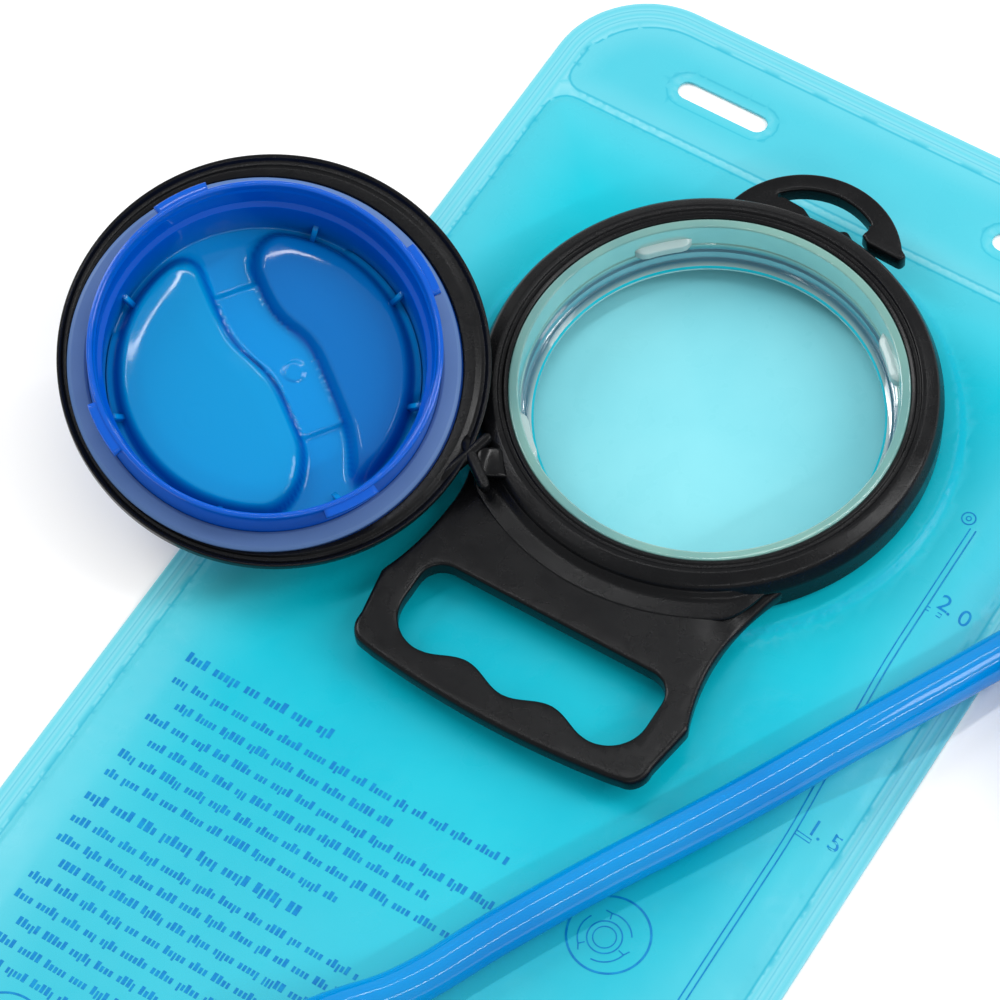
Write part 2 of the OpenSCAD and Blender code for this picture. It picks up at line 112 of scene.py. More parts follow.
class Paint:
    """A Principled material and short ways to add nodes to it."""

    def __init__(self, name, color, rough, **sockets):
        self.material = bpy.data.materials.new(name)
        self.material.use_nodes = True
        self.nodes = self.material.node_tree.nodes
        self.links = self.material.node_tree.links
        self.bsdf = self.nodes["Principled BSDF"]
        self.bsdf.inputs["Base Color"].default_value = (*color, 1)
        self.bsdf.inputs["Roughness"].default_value = rough
        for key, value in sockets.items():
            self.bsdf.inputs[key.replace("_", " ")].default_value = value
        self.place = self.nodes.new("ShaderNodeTexCoord").outputs["Object"]

    def noise(self, scale, detail=3, rough=0.5):
        node = self.nodes.new("ShaderNodeTexNoise")
        node.inputs["Scale"].default_value = scale
        node.inputs["Detail"].default_value = detail
        node.inputs["Roughness"].default_value = rough
        self.links.new(self.place, node.inputs["Vector"])
        return node.outputs["Fac"]

    def attribute(self, name):
        node = self.nodes.new("ShaderNodeAttribute")
        node.attribute_name = name
        return node.outputs["Fac"]

    def spread(self, source, low, high, to_low=0.0, to_high=1.0):
        node = self.nodes.new("ShaderNodeMapRange")
        for key, value in zip(("From Min", "From Max", "To Min", "To Max"), (low, high, to_low, to_high)):
            node.inputs[key].default_value = value
        self.links.new(source, node.inputs["Value"])
        return node.outputs["Result"]

    def mix(self, amount, first, second):
        node = self.nodes.new("ShaderNodeMix")
        node.data_type = "RGBA"
        self.links.new(amount, node.inputs["Factor"])
        for socket, value in ((node.inputs[6], first), (node.inputs[7], second)):
            if isinstance(value, tuple):
                socket.default_value = (*value, 1)
            else:
                self.links.new(value, socket)
        return node.outputs[2]

    def color(self, source):
        self.links.new(source, self.bsdf.inputs["Base Color"])

    def roughness(self, source):
        self.links.new(source, self.bsdf.inputs["Roughness"])

    def bump(self, source, strength, distance):
        node = self.nodes.new("ShaderNodeBump")
        node.inputs["Strength"].default_value = strength
        node.inputs["Distance"].default_value = distance
        self.links.new(source, node.inputs["Height"])
        if self.bsdf.inputs["Normal"].is_linked:
            self.links.new(self.bsdf.inputs["Normal"].links[0].from_socket, node.inputs["Normal"])
        self.links.new(node.outputs["Normal"], self.bsdf.inputs["Normal"])


def film_paint(name, deep, light, pale_weld_and_lit, line):
    """Film: two cloudy shades, a pale weld whose colour is also painted light on the header, near the
    pouch's edges and lower down, and darker lines along the weld's edges.
    """
    paint = Paint(name, light, 0.3, IOR=1.5, Specular_IOR_Level=0.14)
    clouds = paint.spread(paint.noise(14, 4, 0.55), 0.38, 0.66)
    body = paint.mix(clouds, deep, light)
    # The pale colour is the weld's and also painted light: lit film away from the shade round the collar is
    # painted paler.
    welded = paint.mix(paint.attribute("weld"), body, pale_weld_and_lit)
    paint.color(paint.mix(paint.attribute("line"), welded, line))
    paint.roughness(paint.spread(paint.noise(90, 3), 0.3, 0.7, 0.22, 0.42))
    paint.bump(paint.noise(45, 3), 0.35, 0.0012)
    paint.bump(paint.noise(420, 2), 0.12, 0.0002)
    return paint.material


def black_paint(name, rough, grain, grain_scale, color=(0.003, 0.0032, 0.0038)):
    """Moulded black plastic with a fine grain and uneven gloss."""
    paint = Paint(name, color, rough, IOR=1.5, Specular_IOR_Level=0.18)
    fine = paint.noise(grain_scale, 2, 0.6)
    paint.color(paint.mix(paint.spread(fine, 0.45, 0.8), color, tuple(1.7 * c for c in color)))
    paint.roughness(paint.spread(paint.noise(160, 4), 0.3, 0.75, rough - 0.06, rough + 0.08))
    paint.bump(fine, grain, 0.0002)
    return paint.material


def tinted_paint(name, deep, light, rough, **sockets):
    """Translucent coloured plastic, lighter in patches, with faint flow marks."""
    paint = Paint(name, light, rough, **sockets)
    paint.color(paint.mix(paint.spread(paint.noise(22, 3), 0.3, 0.7), deep, light))
    paint.roughness(paint.spread(paint.noise(240, 3), 0.3, 0.7, max(rough - 0.03, 0.02), rough + 0.05))
    paint.bump(paint.noise(60, 2), 0.1, 0.0004)
    return paint.material


def metal_paint(name, color):
    """Drawn spring wire."""
    paint = Paint(name, color, 0.3, Metallic=1.0)
    paint.roughness(paint.spread(paint.noise(900, 2), 0.3, 0.7, 0.22, 0.4))
    return paint.material


def cap_paint():
    """The cap's blue plug: painted shade deep in the skirt and along the pads' edges, painted light coming
    through the floor and the lower pad.
    """
    paint = Paint("cap_blue", (0.0, 0.16, 0.6), 0.07, IOR=1.5, Specular_IOR_Level=0.3)
    # Painted light on the lower pad and the floor, painted shade in the skirt and along the pads' edges.
    pads = paint.mix(paint.attribute("lit"), (0.0, 0.145, 0.46), (0.0, 0.26, 0.56))
    floor = paint.mix(paint.attribute("floor"), pads, (0.0, 0.25, 0.62))
    skirt = paint.mix(paint.attribute("skirt"), floor, (0.0, 0.085, 0.5))
    edge = paint.mix(paint.attribute("edge"), skirt, (0.0, 0.05, 0.36))
    paint.color(edge)
    paint.roughness(paint.spread(paint.noise(200, 3), 0.3, 0.7, 0.05, 0.1))
    paint.bump(paint.noise(70, 2), 0.04, 0.0005)
    return paint.material


def print_paint():
    """Blue screen print."""
    paint = Paint("print_blue", (0.0, 0.2, 0.5), 0.4, Specular_IOR_Level=0.15)
    uneven = paint.spread(paint.noise(500, 3), 0.35, 0.7)
    paint.color(paint.mix(uneven, (0.0, 0.17, 0.46), (0.0, 0.25, 0.54)))
    return paint.material


# Translucent plastics: deep shade, light shade, roughness and further sockets
TINTED = {
    "gasket": ((0.075, 0.15, 0.34), (0.11, 0.2, 0.42), 0.42, {"Specular_IOR_Level": 0.2}),
    "hose": ((0.0, 0.22, 0.66), (0.0, 0.31, 0.74), 0.06,
             {"Transmission_Weight": 0.25, "IOR": 1.45, "Specular_IOR_Level": 0.45}),
    "outlet_blue": ((0.0, 0.16, 0.6), (0.0, 0.25, 0.7), 0.12, {"Coat_Weight": 0.5}),
    "white_plastic": ((0.72, 0.74, 0.76), (0.82, 0.83, 0.85), 0.35, {}),
    "o_ring": ((0.3, 0.04, 0.03), (0.42, 0.07, 0.05), 0.4, {}),
    "tip_blue": ((0.01, 0.16, 0.5), (0.02, 0.22, 0.58), 0.3, {}),
    "mouthpiece": ((0.35, 0.68, 0.85), (0.5, 0.78, 0.9), 0.28, {"Coat_Weight": 0.3}),
    "cover_clear": ((0.62, 0.84, 0.93), (0.75, 0.9, 0.96), 0.08, {"Transmission_Weight": 0.75}),
}


def make_paints():
    paints = {
        "film_front": film_paint(
            "film_front", (0.0, 0.42, 0.54), (0.004, 0.47, 0.58), (0.2, 0.58, 0.67), (0.0, 0.34, 0.48)),
        "film_back": film_paint(
            "film_back", (0.19, 0.6, 0.68), (0.23, 0.65, 0.72), (0.3, 0.62, 0.7), (0.0, 0.4, 0.54)),
        "black_textured": black_paint("black_textured", 0.26, 0.22, 2200),
        "black_soft": black_paint("black_soft", 0.16, 0.06, 900),
        "port_clear": port_paint(),
        "cap_blue": cap_paint(),
        "print_blue": print_paint(),
        "spring_steel": metal_paint("spring_steel", (0.7, 0.72, 0.74)),
    }
    for name, (deep, light, rough, sockets) in TINTED.items():
        paints[name] = tinted_paint(name, deep, light, rough, **sockets)
    return paints


def port_paint():
    """Clear moulding that carries a green-blue light inside it."""
    paint = Paint(
        "port_clear", (0.2, 0.42, 0.4), 0.08, IOR=1.45, Transmission_Weight=0.3, Specular_IOR_Level=0.45)
    patches = paint.spread(paint.noise(30, 3), 0.35, 0.65)
    glow = paint.mix(patches, (0.15, 0.36, 0.36), (0.24, 0.47, 0.42))
    # Painted shade in the neck's groove.
    groove_shade = paint.mix(paint.attribute("groove_shade"), glow, (0.07, 0.2, 0.27))
    # Painted pale highlight on the lugs and the mouth's rim.
    paint.color(paint.mix(paint.attribute("clear"), groove_shade, (0.55, 0.72, 0.72)))
    paint.bump(paint.noise(110, 2), 0.1, 0.0004)
    return paint.material


# ---- shape helpers


def add_object(name, data):
    thing = bpy.data.objects.new(name, data)
    bpy.context.scene.collection.objects.link(thing)
    return thing


def make_object(name, points, faces, paint, body, at=None, smooth=True, attributes=None):
    """A mesh piece from points in mm, placed by the matrix at, riding on a body."""
    co = np.array(points, float)
    if at is not None:
        m = np.array(at)
        co = co @ m[:3, :3].T + m[:3, 3]
    mesh = bpy.data.meshes.new(name)
    mesh.from_pydata((co * MM).tolist(), [], faces)
    mesh.update()
    for key, values in (attributes or {}).items():
        layer = mesh.attributes.new(key, "FLOAT", "POINT")
        layer.data.foreach_set("value", np.array(values, np.float32))
    mesh.materials.append(PAINTS[paint])
    mesh.polygons.foreach_set("use_smooth", [smooth] * len(mesh.polygons))
    piece = add_object(name, mesh)
    if body:
        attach(piece, body)
    return piece


def arc(centre, radius, start, end, steps):
    """Points on an arc, in degrees."""
    turns = [math.radians(start + (end - start) * i / steps) for i in range(steps + 1)]
    return [(centre[0] + radius * math.cos(t), centre[1] + radius * math.sin(t)) for t in turns]


def polar(r, turn):
    return r * math.cos(turn), r * math.sin(turn)


def rounded(corners, steps=4):
    """A closed outline from corners (x, y, radius), each rounded by its radius."""
    out = []
    count = len(corners)
    for i, (x, y, r) in enumerate(corners):
        here = Vector((x, y))
        back = Vector(corners[i - 1][:2]) - here
        ahead = Vector(corners[(i + 1) % count][:2]) - here
        half = back.angle(ahead, math.pi) / 2
        if r <= 0 or half > 1.55:
            out.append((x, y))
            continue
        reach = min(r / math.tan(half), 0.48 * back.length, 0.48 * ahead.length)
        first = here + back.normalized() * reach
        last = here + ahead.normalized() * reach
        for k in range(steps + 1):
            t = k / steps
            p = (1 - t) ** 2 * first + 2 * t * (1 - t) * here + t * t * last
            out.append((p.x, p.y))
    return out


def lathe(profile, segments=160, offset=(0, 0), wobble=None):
    """Points and faces of a closed profile (radius, z) turned about Z.
    A profile point may carry a share of the sideways offset as a third number, and wobble gives
    what to add to the radius at a turn and profile point."""
    points, faces = [], []
    count = len(profile)
    for s in range(segments):
        turn = 2 * math.pi * s / segments
        for p in profile:
            share = p[2] if len(p) > 2 else 0
            r = p[0] + (wobble(turn, p) if wobble else 0)
            x, y = polar(r, turn)
            points.append((x + share * offset[0], y + share * offset[1], p[1]))
    for s in range(segments):
        a, b = s * count, (s + 1) % segments * count
        for i in range(count):
            j = (i + 1) % count
            faces.append((a + i, b + i, b + j, a + j))
    return points, faces


def join(*parts):
    """Several (points, faces) as one."""
    points, faces = [], []
    for more, their in parts:
        faces += [tuple(i + len(points) for i in f) for f in their]
        points += list(more)
    return points, faces


def inside(points, loop):
    """Which of the points lie inside the loop."""
    px, py = points[:, 0], points[:, 1]
    result = np.zeros(len(points), bool)
    corners = np.array(loop)
    for (x0, y0), (x1, y1) in zip(corners, np.roll(corners, -1, 0)):
        if y0 == y1:
            continue
        crosses = ((y0 > py) != (y1 > py)) & (px < (x1 - x0) * (py - y0) / (y1 - y0) + x0)
        result ^= crosses
    return result


def within(points, loops):
    """Which of the points lie inside the first loop and in none of the others."""
    keep = inside(points, loops[0])
    for hole in loops[1:]:
        keep &= ~inside(points, hole)
    return keep


def moved_in(loop, distance):
    """The loop moved to its left by the distance: inwards for a loop drawn anticlockwise."""
    p = np.array(loop)
    ahead = np.roll(p, -1, 0) - p
    behind = p - np.roll(p, 1, 0)
    ahead /= np.linalg.norm(ahead, axis=1)[:, None] + 1e-12
    behind /= np.linalg.norm(behind, axis=1)[:, None] + 1e-12
    along = ahead + behind
    along /= np.linalg.norm(along, axis=1)[:, None]
    stretch = 1 / np.clip((along * ahead).sum(1), 0.6, 1)
    return p + np.stack([-along[:, 1], along[:, 0]], 1) * distance * stretch[:, None]


def resample(loop, step):
    """The loop with points about a step apart."""
    p = np.array(list(loop) + [loop[0]])
    far = np.concatenate([[0], np.cumsum(np.linalg.norm(np.diff(p, axis=0), axis=1))])
    count = max(8, int(round(far[-1] / step)))
    want = np.linspace(0, far[-1], count, endpoint=False)
    return np.stack([np.interp(want, far, p[:, 0]), np.interp(want, far, p[:, 1])], 1)


def plate(loops, edges, top, bottom, step=0.0, features=()):
    """A sheet or plate: the first loop is its outline, drawn anticlockwise, and the others are
    holes, drawn clockwise. edges holds one list for the outline and one for the holes, of
    (distance in from the edge, drop of the top face, rise of the bottom face). top and bottom give
    the faces' heights for arrays of x and y. The mesh also has points on a grid of the given step
    and along features, which are extra loops."""
    points, faces, last_rings = [], [], []

    def add_spots(spots, drop=0, rise=0):
        for level in (top(*spots.T) - drop, bottom(*spots.T) + rise):
            points.extend(tuple(p) for p in np.column_stack([spots, level]))

    for loop in loops:
        count = len(loop)
        starts = []
        edge = edges[1] if last_rings else edges[0]
        for distance, drop, rise in edge:
            starts.append(len(points))
            add_spots(moved_in(loop, distance), drop, rise)
        for a, b in zip(starts, starts[1:]):
            for i in range(count):
                j = (i + 1) % count
                faces.append((a + i, a + j, b + j, b + i))
                faces.append((a + count + j, a + count + i, b + count + i, b + count + j))
        a = starts[0]
        for i in range(count):
            j = (i + 1) % count
            faces.append((a + i, a + count + i, a + count + j, a + j))
        last_rings.append((starts[-1], count))
    flat = [points[s + i][:2] for s, n in last_rings for i in range(n)]
    owner = [(s + i, s + n + i) for s, n in last_rings for i in range(n)]
    constraints, base = [], 0
    borders = []
    for s, n in last_rings:
        constraints += [(base + i, base + (i + 1) % n) for i in range(n)]
        borders.append(np.array(flat[base:base + n]))
        base += n
    extra = [np.array(f) for f in features]
    if step:
        outline = borders[0]
        xs = np.arange(outline[:, 0].min() + step / 2, outline[:, 0].max(), step)
        ys = np.arange(outline[:, 1].min() + step / 2, outline[:, 1].max(), step)
        extra.append(np.stack(np.meshgrid(xs, ys), -1).reshape(-1, 2))
    if extra:
        loose = np.concatenate(extra)
        loose = loose[within(loose, borders)]
        taken = np.concatenate(borders)
        kept = []
        near = 0.3 * (step or 1)
        for chunk in np.array_split(loose, max(1, len(loose) // 1500)):
            gap = np.min(np.linalg.norm(chunk[:, None] - taken[None], axis=2), axis=1)
            kept.append(chunk[gap > near])
        loose = np.concatenate(kept)
        first = len(points)
        add_spots(loose)
        owner += [(first + i, first + len(loose) + i) for i in range(len(loose))]
        flat += [tuple(p) for p in loose]
    out = geometry.delaunay_2d_cdt([Vector(p) for p in flat], constraints, [], 1, 1e-7)
    corners = np.array([tuple(v) for v in out[0]])
    triangles = np.array([tuple(f) for f in out[2]])
    middles = corners[triangles].mean(1)
    source = []
    for spot, ids in zip(out[0], out[3]):
        if ids:
            source.append(ids[0])
            continue
        here = np.array([spot.x]), np.array([spot.y])
        source.append(len(owner))
        owner.append((len(points), len(points) + 1))
        points += [(spot.x, spot.y, top(*here)[0]), (spot.x, spot.y, bottom(*here)[0])]
    for tri in triangles[within(middles, borders)]:
        ids = [source[i] for i in tri]
        faces.append(tuple(owner[i][0] for i in ids))
        faces.append(tuple(owner[i][1] for i in reversed(ids)))
    return points, faces


def skin(rings, count):
    """Faces between rings of count points that follow each other, and over both ends."""
    faces = []
    for s in range(rings - 1):
        for k in range(count):
            a, b = s * count + k, s * count + (k + 1) % count
            faces.append((a, b, b + count, a + count))
    faces.append(tuple(range(count - 1, -1, -1)))
    faces.append(tuple(range((rings - 1) * count, rings * count)))
    return faces


def sweep(path, section, widths, sideways):
    """A closed section (across, along the normal) swept along a path of Vectors and closed at both
    ends. widths scale the section's width at each point, sideways is its direction across."""
    points = []
    for i, p in enumerate(path):
        ahead = (path[min(i + 1, len(path) - 1)] - path[max(i - 1, 0)]).normalized()
        side = (sideways[i] - ahead * ahead.dot(sideways[i])).normalized()
        up = side.cross(ahead)
        points += [tuple(p + side * a * widths[i] + up * b) for a, b in section]
    return points, skin(len(path), len(section))


def box_section(half_w, half_h, r):
    """A rounded box as a sweep's section."""
    return rounded([(-half_w, -half_h, r), (half_w, -half_h, r), (half_w, half_h, r), (-half_w, half_h, r)])


def lathe_arc(profile, start, end, segments, fade=0.0, core=0.0):
    """A closed profile (radius, z) turned about Z over part of a turn, closed at both ends.
    Over the angle fade at each end, its radii beyond core shrink back to core."""
    points = []
    for s in range(segments + 1):
        turn = start + (end - start) * s / segments
        share = float(smoothstep(0, fade, min(turn - start, end - turn))) if fade else 1
        for r, z in profile:
            r = core + (r - core) * share if r > core else r
            points.append((*polar(r, turn), z))
    return points, skin(segments + 1, len(profile))


def smoothstep(low, high, x):
    """0 at low and before, 1 at high and beyond, smooth between."""
    t = np.clip((x - low) / (high - low), 0, 1)
    return t * t * (3 - 2 * t)


def waves(x, y, scale, seed):
    """Smooth noise from -1 to 1 at each place."""
    places = zip(np.ravel(x) * scale, np.ravel(y) * scale)
    return np.array([noise.noise(Vector((a, b, seed))) for a, b in places])


# ---- the camera and lights


def add_camera():
    data = bpy.data.cameras.new("photo_view")
    data.sensor_width = 36
    data.lens = 162
    data.clip_start = 0.05
    data.clip_end = 20
    camera = add_object("photo_view", data)
    back = Vector((0.296, -0.416, 0.860)).normalized()
    right = Vector((0.847, 0.530, -0.036))
    right = (right - back * right.dot(back)).normalized()
    up = back.cross(right)
    turn = Matrix((right, up, back)).transposed().to_4x4()
    camera.matrix_world = Matrix.Translation(Vector((291.9, -500.8, 944.6)) * MM) @ turn
    bpy.context.scene.camera = camera


def area_lamp(name, width, length, power):
    data = bpy.data.lights.new(name, "AREA")
    data.shape = "RECTANGLE"
    data.size = width
    data.size_y = length
    data.energy = power
    return add_object(name, data)


def add_softbox(name, place, aim, size, power):
    lamp = area_lamp(name, *size, power)
    lamp.location = place
    lamp.rotation_euler = (Vector(place) - Vector(aim)).to_track_quat("Z", "Y").to_euler()


def add_strip(name, place, power):
    """A long narrow lamp that runs the way the hose crosses the bag."""
    along = Vector((0.447, 0.894, 0))
    down = -Vector(place).normalized()
    side = down.cross(along).normalized()
    along = side.cross(down)
    lamp = area_lamp(name, 0.035, 2.4, power)
    lamp.matrix_world = Matrix.Translation(place) @ Matrix((side, along, -down)).transposed().to_4x4()


def add_studio():
    world = bpy.data.worlds.new("studio")
    world.use_nodes = True
    sky = world.node_tree.nodes["Background"].inputs
    sky["Color"].default_value = (1, 1, 1, 1)
    sky["Strength"].default_value = 0.55
    bpy.context.scene.world = world
    bpy.context.scene.view_settings.view_transform = "Standard"
    add_softbox("box_left", (-1.15, 0.05, 0.85), (0, -0.05, 0), (0.45, 1.0), 10)
    add_softbox("box_right", (0.95, 0.55, 1.0), (0, -0.05, 0), (0.35, 1.1), 8)
    add_strip("strip_over", (-0.134, 0.402, 1.22), 6)
    add_strip("strip_side", (0.95, -0.1, 0.8), 6)
    half = 6
    corners = [(-half, -half, 0), (half, -half, 0), (half, half, 0), (-half, half, 0)]
    mesh = bpy.data.meshes.new("floor")
    mesh.from_pydata(corners, [], [(0, 1, 2, 3)])
    paint = Paint("floor_white", (0.97, 0.97, 0.97), 0.9)
    patches = paint.spread(paint.noise(3, 2), 0.3, 0.7)
    paint.color(paint.mix(patches, (0.96, 0.96, 0.96), (0.98, 0.98, 0.98)))
    mesh.materials.append(paint.material)
    floor = add_object("floor", mesh)
    floor.location.z = -0.0002


# ---- hose


def hose_route():
    """The hose's points: over the bag, about one and a half times round, and on to the valve."""
    turns = 360 + COIL_START
    points = list(HOSE_RUN)
    for step in range(0, turns + 1, COIL_STEP):
        lift = float(smoothstep(0.5, 0.84, step / 360))
        angle = math.radians(COIL_START - step)
        points.append((
            COIL_AT[0] + COIL_R * math.cos(angle),
            COIL_AT[1] + COIL_R * math.sin(angle),
            COIL_LOW + (COIL_HIGH - COIL_LOW) * lift,
        ))
    return points + HOSE_TAIL


def add_hose():
    data = bpy.data.curves.new("drinking_hose", "CURVE")
    data.dimensions = "3D"
    data.resolution_u = 8
    data.bevel_depth = HOSE_R * MM
    data.bevel_resolution = 8
    data.use_fill_caps = True
    route = hose_route()
    spline = data.splines.new("BEZIER")
    spline.bezier_points.add(len(route) - 1)
    for knot, place in zip(spline.bezier_points, route):
        knot.co = Vector(place) * MM
        knot.handle_left_type = knot.handle_right_type = "AUTO"
    data.materials.append(PAINTS["hose"])
    hose = add_object("drinking_hose", data)
    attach(hose, "hose")
    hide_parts("hose_run", "hose_coil", "hose_tail")


# ---- bag

SEAM_HALF = 1.2
PANEL_HALF_W = BAG_HALF_W - WELD_W
BAG = dict(top=BAG_TOP, top_r=HEADER_CORNER, low=BAG_BOTTOM, low_r=BOTTOM_CORNER, half=BAG_HALF_W)
HEADER = dict(
    top=BAG_TOP - WELD_W, top_r=HEADER_CORNER - 5, low=SEAM_Y + SEAM_HALF, low_r=5, half=PANEL_HALF_W)
POUCH = dict(
    top=SEAM_Y - SEAM_HALF, top_r=6, low=BAG_BOTTOM + WELD_W, low_r=BOTTOM_CORNER - WELD_W,
    half=PANEL_HALF_W)


def panel_loop(top, top_r, low, low_r, half, steps=14):
    """Outline of the bag or of one of its panels, drawn anticlockwise."""
    return (arc((half - top_r, top - top_r), top_r, 0, 90, steps)
            + arc((top_r - half, top - top_r), top_r, 90, 180, steps)
            + arc((low_r - half, low + low_r), low_r, 180, 270, steps)
            + arc((half - low_r, low + low_r), low_r, 270, 360, steps))


def depth(x, y, top, top_r, low, low_r, half):
    """Distance in from the edge of the bag or of a panel, negative outside it."""
    middle = (top + low) / 2
    tall = (top - low) / 2
    r = np.where(y > middle, top_r, low_r)
    qx = np.abs(x) - (half - r)
    qy = np.abs(y - middle) - (tall - r)
    outside = np.hypot(np.maximum(qx, 0), np.maximum(qy, 0))
    return r - outside - np.minimum(np.maximum(qx, qy), 0)


def slot_distance(x, y):
    """Distance from the rim of the nearer hanging slot."""
    reach = SLOT_HALF - SLOT_R
    away = np.maximum(np.abs(np.abs(x) - SLOT_X) - reach, 0)
    return np.hypot(away, y - SLOT_Y) - SLOT_R


def front_height(x, y):
    """Height of the front film's upper face."""
    header = depth(x, y, **HEADER)
    pouch = depth(x, y, **POUCH)
    edge = depth(x, y, **BAG)
    ridges = 0.12 * np.cos(edge * 2 * math.pi / WELD_PITCH) * (edge < WELD_W)
    puffed = 0.3 * smoothstep(0, 2.5, header) + 0.25 * smoothstep(2, 14, header)
    pressed = 0.45 * (1 - smoothstep(1.6, 3.6, slot_distance(x, y))) * (header > 0)
    on_header = WELD_TOP + ridges + puffed - pressed
    rise = (0.75 * smoothstep(0, 14, pouch) + 0.25 * smoothstep(0, 2.5, pouch)) * (FILM_TOP - 1)
    middle = smoothstep(4, 16, pouch)
    near_edge = smoothstep(1, 5, pouch) * (1 - smoothstep(10, 24, pouch))
    puckers = 0.3 * waves(x, y * 0.25, 0.11, 3.1) * near_edge
    swells = waves(x, y, 0.022, 7.7) * 0.32 + waves(x + 0.4 * y, y * 0.6, 0.05, 1.9) * 0.13 - 0.2
    from_port = np.hypot(x, y)
    calm = smoothstep(70, 90, from_port)
    over_flange = 1.3 * (1 - smoothstep(FLANGE_R - 0.4, FLANGE_R + 1.2, from_port))
    on_pouch = np.minimum(WELD_TOP + ridges + rise + middle * swells * calm + puckers, FILM_TOP + 0.15)
    return np.where(header > 0, on_header, on_pouch + over_flange)


def front_low(x, y):
    """Height of the front film's lower face, just off the back film or higher."""
    return np.maximum(front_height(x, y) - FILM_T, BACK_TOP + 0.01)


def flat_at(height):
    """A level face, as plate() wants it."""
    return lambda x, y: height + 0 * x


def film_marks(points):
    """Where the film is welded, where it is painted paler as lit film, and where a darker line runs along a
    weld.
    """
    x, y = np.array(points)[:, :2].T
    header = depth(x, y, **HEADER)
    pouch = depth(x, y, **POUCH)
    edge = depth(x, y, **BAG)
    panel = np.maximum(header, pouch)
    slot = slot_distance(x, y)
    weld = 1 - smoothstep(-0.6, 0.5, panel)
    weld = np.maximum(weld, 0.6 * (1 - smoothstep(1.5, 2.6, slot)))
    weld = weld * (0.78 + 0.22 * np.cos(edge * 2 * math.pi / WELD_PITCH))
    # Painted light: the header, the pouch near its edges and the lower bag are painted paler, as lit film
    # away from the collar's shade.
    painted_lit_header = 0.35 + 0.2 * (1 - smoothstep(0, 9, panel))
    weld = np.maximum(weld, painted_lit_header * (y > SEAM_Y))
    painted_lit_pouch = 0.3 * (1 - smoothstep(0, 30, pouch)) + 0.2 * smoothstep(-90, -200, y)
    weld = np.maximum(weld, painted_lit_pouch * (y < SEAM_Y))
    ring = np.hypot(x, y) - FLANGE_R
    line = np.maximum.reduce([
        0.7 * (1 - smoothstep(0.1, 0.45, np.abs(panel))),
        0.5 * (1 - smoothstep(0.1, 0.45, np.abs(slot - 2.8))),
        0.45 * (1 - smoothstep(0.2, 1.2, np.abs(ring))),
        0.5 * (1 - smoothstep(0.05, 0.3, np.abs(edge - WELD_PITCH))),
        0.5 * (1 - smoothstep(0.05, 0.3, np.abs(edge - 2 * WELD_PITCH))),
    ])
    return {"weld": weld, "line": line}


def slot_loops():
    """The two hanging slots, drawn clockwise."""
    reach = SLOT_HALF - SLOT_R
    loops = []
    for side in (-1, 1):
        loop = (arc((side * SLOT_X + reach, SLOT_Y), SLOT_R, 90, -90, 10)
                + arc((side * SLOT_X - reach, SLOT_Y), SLOT_R, 270, 90, 10))
        loops.append(resample(loop, 1.0))
    return loops


def weld_features():
    """Loops of mesh points along the weld lines, so that each line stays sharp."""
    loops = []
    for panel in (HEADER, POUCH):
        base = resample(panel_loop(**panel), 1.6)
        loops += [moved_in(base, d) for d in (-0.5, 0, 0.5, 1.6, 3)]
    for hole in slot_loops():
        loops += [moved_in(hole, d) for d in (1.6, 2.4, 2.8, 3.2)]
    for d in (-1.5, -0.6, 0, 0.6, 1.6):
        loops.append(resample(arc((0, 0), FLANGE_R + d, 0, 360, 160)[:-1], 2))
    return loops


def add_film(name, node, paint, holes, top, bottom, rings, features):
    outline = resample(panel_loop(**BAG), 1.8)
    hole_edge = [(0, 0.08, 0), (0.25, 0, 0)]
    points, faces = plate([outline] + holes, (rings, hole_edge), top, bottom, 2.6, features)
    piece = make_object(name, points, faces, paint, "reservoir", attributes=film_marks(points))
    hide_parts(node)


def add_bag():
    fold = [(0, 0.1, 0), (0.3, 0, 0)]
    weld_rings = fold + [(d, 0, 0) for d in (0.9, 1.6, 2.0, 2.33, 2.7, 3.4, 4.3, 4.66, 5.0, 5.8)]
    mouth = resample(arc((0, 0), MOUTH_R, 360, 0, 200)[:-1], 1.6)
    outlet = resample(arc((0, OUTLET_Y), OUTLET_R, 360, 0, 60)[:-1], 1.2)
    back_top, back_low = flat_at(BACK_TOP), flat_at(0.01)
    add_film("back_sheet", "back_film", "film_back", slot_loops(), back_top, back_low, fold, [])
    add_film("front_sheet", "front_film", "film_front", slot_loops() + [mouth, outlet], front_height,
             front_low, weld_rings, weld_features())


# ---- print on the bag

PRINT_LIFT = 0.05
ROW_PITCH = 5.7
TICK_PITCH = 67.2
SCALE_TOP = (68.5, 7.2)

def strip(points, width, closed=False):
    """A thin printed line through points (x, y), lying on the front film."""
    p = [Vector(q) for q in points]
    dense = []
    for a, b in zip(p, p[1:] + ([p[0]] if closed else [])):
        count = max(1, int((b - a).length / 2.5))
        dense += [a.lerp(b, k / count) for k in range(count)]
    if not closed:
        dense.append(p[-1])
    out, faces = [], []
    count = len(dense)
    for i, q in enumerate(dense):
        before = dense[i - 1] if closed or i else q
        after = dense[(i + 1) % count] if closed or i + 1 < count else q
        along = (after - before).normalized()
        side = Vector((-along.y, along.x)) * width / 2
        out += [q + side, q - side]
    for i in range(count if closed else count - 1):
        a, b = 2 * i, 2 * ((i + 1) % count)
        faces.append((a + 1, b + 1, b, a))
    return lay_on_film(out), faces


def printed_ring(centre, radius, steps, width):
    return strip(arc(centre, radius, 0, 360, steps)[:-1], width, closed=True)


def lay_on_film(points):
    x, y = np.array([tuple(p)[:2] for p in points]).T
    return list(zip(x, y, front_height(x, y) + PRINT_LIFT))


